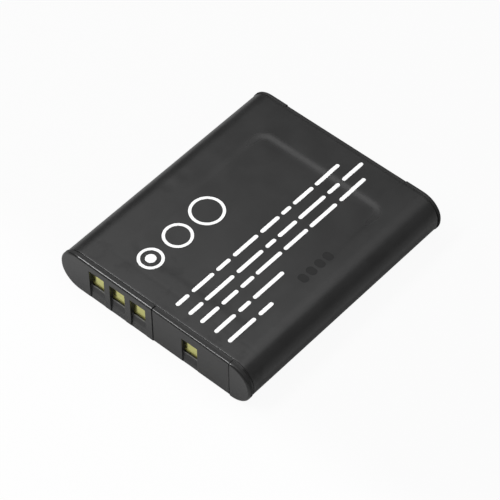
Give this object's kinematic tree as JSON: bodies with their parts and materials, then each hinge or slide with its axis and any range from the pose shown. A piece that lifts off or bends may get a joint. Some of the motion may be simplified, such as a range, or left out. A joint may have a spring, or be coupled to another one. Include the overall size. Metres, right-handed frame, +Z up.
{
  "type": "camera battery",
  "caption": "Slim rounded camera battery: flat sealed cell between moulded end caps, wrapped in black film, with recessed gold contacts on one end.",
  "frame": {"origin": "under the middle of the body, on the surface it lies on", "axes": "+Z up through the thickness, -Y towards the contact end, +X across, to the right of the contacts as seen from outside the contact end"},
  "size_m": [0.0344, 0.04, 0.007],
  "materials": {
    "cap_plastic": "satin moulded black plastic",
    "label_film": "satin black wrapped film",
    "can_aluminium": "drawn aluminium",
    "gasket_plastic": "natural moulded plastic",
    "nickel": "plain nickel",
    "contact_gold": "gold plated",
    "paper": "pressed insulating paper",
    "board": "green solder mask",
    "chip_plastic": "moulded black epoxy",
    "ceramic": "fired ceramic",
    "tape": "double-sided tape"
  },
  "bodies": {
    "root": {"front_cap": "cap_plastic", "rear_cap": "cap_plastic", "label_film": "label_film", "cell_can": "can_aluminium", "terminal_gasket": "gasket_plastic", "terminal_rivet": "nickel", "fill_plug": "can_aluminium", "lid_paper": "paper", "weld_pad": "nickel", "board_strip": "nickel", "thermal_cutoff": "chip_plastic", "terminal_lead": "nickel", "board_lead": "nickel", "circuit_board": "board", "protection_chip": "chip_plastic", "switch_chip": "chip_plastic", "resistors": "ceramic", "capacitors": "ceramic", "thermistor": "ceramic", "cap_tape_left": "tape", "cap_tape_right": "tape", "rear_tape": "tape", "contact_1": "contact_gold", "contact_2": "contact_gold", "contact_3": "contact_gold", "contact_4": "contact_gold"}
  },
  "joints": []
}
